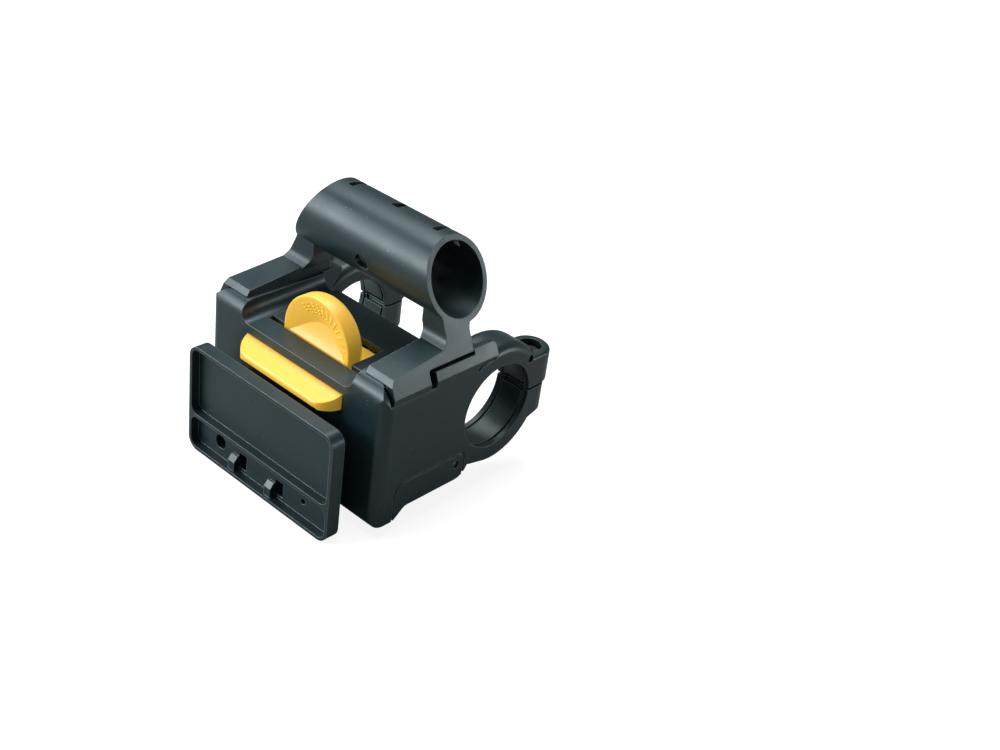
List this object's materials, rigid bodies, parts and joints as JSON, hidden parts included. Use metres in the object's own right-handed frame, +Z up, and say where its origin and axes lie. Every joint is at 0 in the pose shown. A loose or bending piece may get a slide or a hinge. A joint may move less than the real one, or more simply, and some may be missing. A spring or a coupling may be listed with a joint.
{
  "type": "mount adapter",
  "caption": "Handlebar mount adapter with two hinged bar clamps, a ribbed front plate for a bag frame, a sprung push latch and a tube bracket for accessories on top",
  "frame": {"origin": "on the axis of the clamped handlebar, midway between the two clamps", "axes": "+X along the handlebar, +Y back towards the rider, +Z up"},
  "size_m": [0.0854, 0.0978, 0.0915],
  "materials": {
    "black_moulding": "matte, fine-grained glass-filled moulding",
    "yellow_moulding": "smooth semi-gloss moulding",
    "pin_steel": "plain turned pin",
    "screw_steel": "zinc-plated",
    "spring_steel": "drawn wire"
  },
  "bodies": {
    "adapter": {"housing": "black_moulding", "latch_cover": "black_moulding", "accessory_bracket": "black_moulding", "hinge_pin_left": "pin_steel", "hinge_pin_right": "pin_steel", "latch_spring_left": "spring_steel", "latch_spring_right": "spring_steel", "cover_screws": "screw_steel", "bracket_screws": "screw_steel"},
    "latch": {"release_latch": "yellow_moulding"},
    "jaw_left": {"lower_jaw_left": "black_moulding", "clamp_nut_left": "screw_steel"},
    "jaw_right": {"lower_jaw_right": "black_moulding", "clamp_nut_right": "screw_steel"},
    "bolt_left": {"clamp_bolt_left": "screw_steel", "clamp_washer_left": "screw_steel"},
    "bolt_right": {"clamp_bolt_right": "screw_steel", "clamp_washer_right": "screw_steel"}
  },
  "joints": [
    {"name": "latch_slide", "type": "slide", "parent": "adapter", "child": "latch", "axis": [0, 1, 0], "range_m": [0, 0.005], "stiffness_N_per_m": 300, "springref_m": -0.01, "deforming": ["latch_spring_left", "latch_spring_right"]},
    {"name": "bolt_left_slide", "type": "slide", "parent": "adapter", "child": "bolt_left", "axis": [0, 0, 1], "range_m": [0, 0.035]},
    {"name": "bolt_right_slide", "type": "slide", "parent": "adapter", "child": "bolt_right", "axis": [0, 0, 1], "range_m": [0, 0.035]},
    {"name": "jaw_left_hinge", "type": "hinge", "parent": "adapter", "child": "jaw_left", "pos_m": [-0.03545, -0.0177, -0.0167], "axis": [-1, 0, 0], "range_deg": [0, 60]},
    {"name": "jaw_right_hinge", "type": "hinge", "parent": "adapter", "child": "jaw_right", "pos_m": [0.03545, -0.0177, -0.0167], "axis": [-1, 0, 0], "range_deg": [0, 60]}
  ],
  "couplings": [
    {"joint": "jaw_left_hinge", "follows": "bolt_left_slide", "rad_per_m": 29.9},
    {"joint": "jaw_right_hinge", "follows": "bolt_right_slide", "rad_per_m": 29.9}
  ]
}
